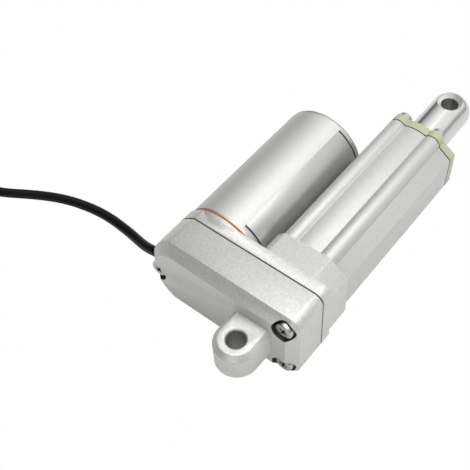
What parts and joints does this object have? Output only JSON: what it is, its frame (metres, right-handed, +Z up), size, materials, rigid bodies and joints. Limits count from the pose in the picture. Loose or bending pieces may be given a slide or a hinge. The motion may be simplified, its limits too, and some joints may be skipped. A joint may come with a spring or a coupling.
{
  "type": "electric linear actuator",
  "caption": "Electric linear actuator: motor beside a tube, spur gearbox, screw-driven rod, an eye at each end and a free power cable.",
  "frame": {"origin": "centre of the rear eye's bore, at half its length", "axes": "+X along the rod towards the front eye, +Y from the tube to the motor, +Z up along the bores of both eyes"},
  "size_m": [0.2196, 0.2219, 0.04],
  "materials": {
    "cast_aluminium": "satin silver paint over a fine casting",
    "anodised_tube": "satin anodised",
    "gasket_rubber": "matte",
    "screw_steel": "bright zinc",
    "cap_plastic": "satin",
    "guide_plastic": "satin",
    "rod_chrome": "polished",
    "bearing_steel": "ground",
    "bronze": "sintered",
    "motor_steel": "zinc plated",
    "seal_orange": "matte",
    "label_foil": "satin foil",
    "ferrite": "matte",
    "core_steel": "laminated",
    "copper": "enamelled wire",
    "carbon": "matte",
    "board_green": "lacquered",
    "switch_black": "matte",
    "cable_black": "satin",
    "lead_insulation": "satin"
  },
  "bodies": {
    "housing": {"rear_cover": "cast_aluminium", "front_housing": "cast_aluminium", "outer_tube": "anodised_tube", "housing_gasket": "gasket_rubber", "cap_gasket": "gasket_rubber", "rod_seal": "gasket_rubber", "cover_screws": "screw_steel", "cap_screws": "screw_steel", "bearing_clip": "screw_steel", "idler_pin": "screw_steel", "front_cap": "cap_plastic", "rod_guide": "guide_plastic", "front_bearing_outer": "bearing_steel", "rear_bush": "bronze", "motor_front_bush": "bronze", "motor_rear_bush": "bronze", "motor_can": "motor_steel", "motor_front_bell": "motor_steel", "motor_end_cap": "motor_steel", "motor_seal": "seal_orange", "motor_label": "label_foil", "motor_magnets": "ferrite", "motor_brushes": "carbon", "limit_switch_board": "board_green", "brush_card": "board_green", "limit_switches": "switch_black", "cable": "cable_black", "cable_coil": "cable_black", "cable_grommet": "cable_black", "lead_wires": "lead_insulation"},
    "rotor": {"motor_shaft": "bearing_steel", "armature_core": "core_steel", "armature_windings": "copper", "commutator": "copper", "motor_pinion": "bronze"},
    "idler": {"idler_gear": "bearing_steel"},
    "spindle": {"spindle": "bearing_steel", "drive_gear": "guide_plastic", "front_bearing_inner": "bearing_steel"},
    "bearing_balls": {"front_bearing_balls": "bearing_steel", "front_bearing_cage": "bronze"},
    "rod": {"piston_rod": "rod_chrome", "spindle_nut": "guide_plastic", "switch_cam": "guide_plastic"}
  },
  "joints": [
    {"name": "motor_spin", "type": "hinge", "parent": "housing", "child": "rotor", "pos_m": [0.07, 0.034, 0], "axis": [-1, 0, 0], "range_deg": [0, 26400]},
    {"name": "idler_spin", "type": "hinge", "parent": "housing", "child": "idler", "pos_m": [0.02, 0.018, 0], "axis": [-1, 0, 0], "range_deg": [-12001, 0]},
    {"name": "spindle_spin", "type": "hinge", "parent": "housing", "child": "spindle", "pos_m": [0.033, 0, 0], "axis": [-1, 0, 0], "range_deg": [0, 6001]},
    {"name": "bearing_roll", "type": "hinge", "parent": "housing", "child": "bearing_balls", "pos_m": [0.033, 0, 0], "axis": [-1, 0, 0], "range_deg": [0, 2209]},
    {"name": "rod_slide", "type": "slide", "parent": "housing", "child": "rod", "axis": [1, 0, 0], "range_m": [0, 0.05]}
  ],
  "couplings": [
    {"joint": "idler_spin", "follows": "motor_spin", "ratio": -0.45455},
    {"joint": "spindle_spin", "follows": "motor_spin", "ratio": 0.22727},
    {"joint": "bearing_roll", "follows": "motor_spin", "ratio": 0.083636},
    {"joint": "rod_slide", "follows": "motor_spin", "m_per_rad": 0.00010851}
  ]
}
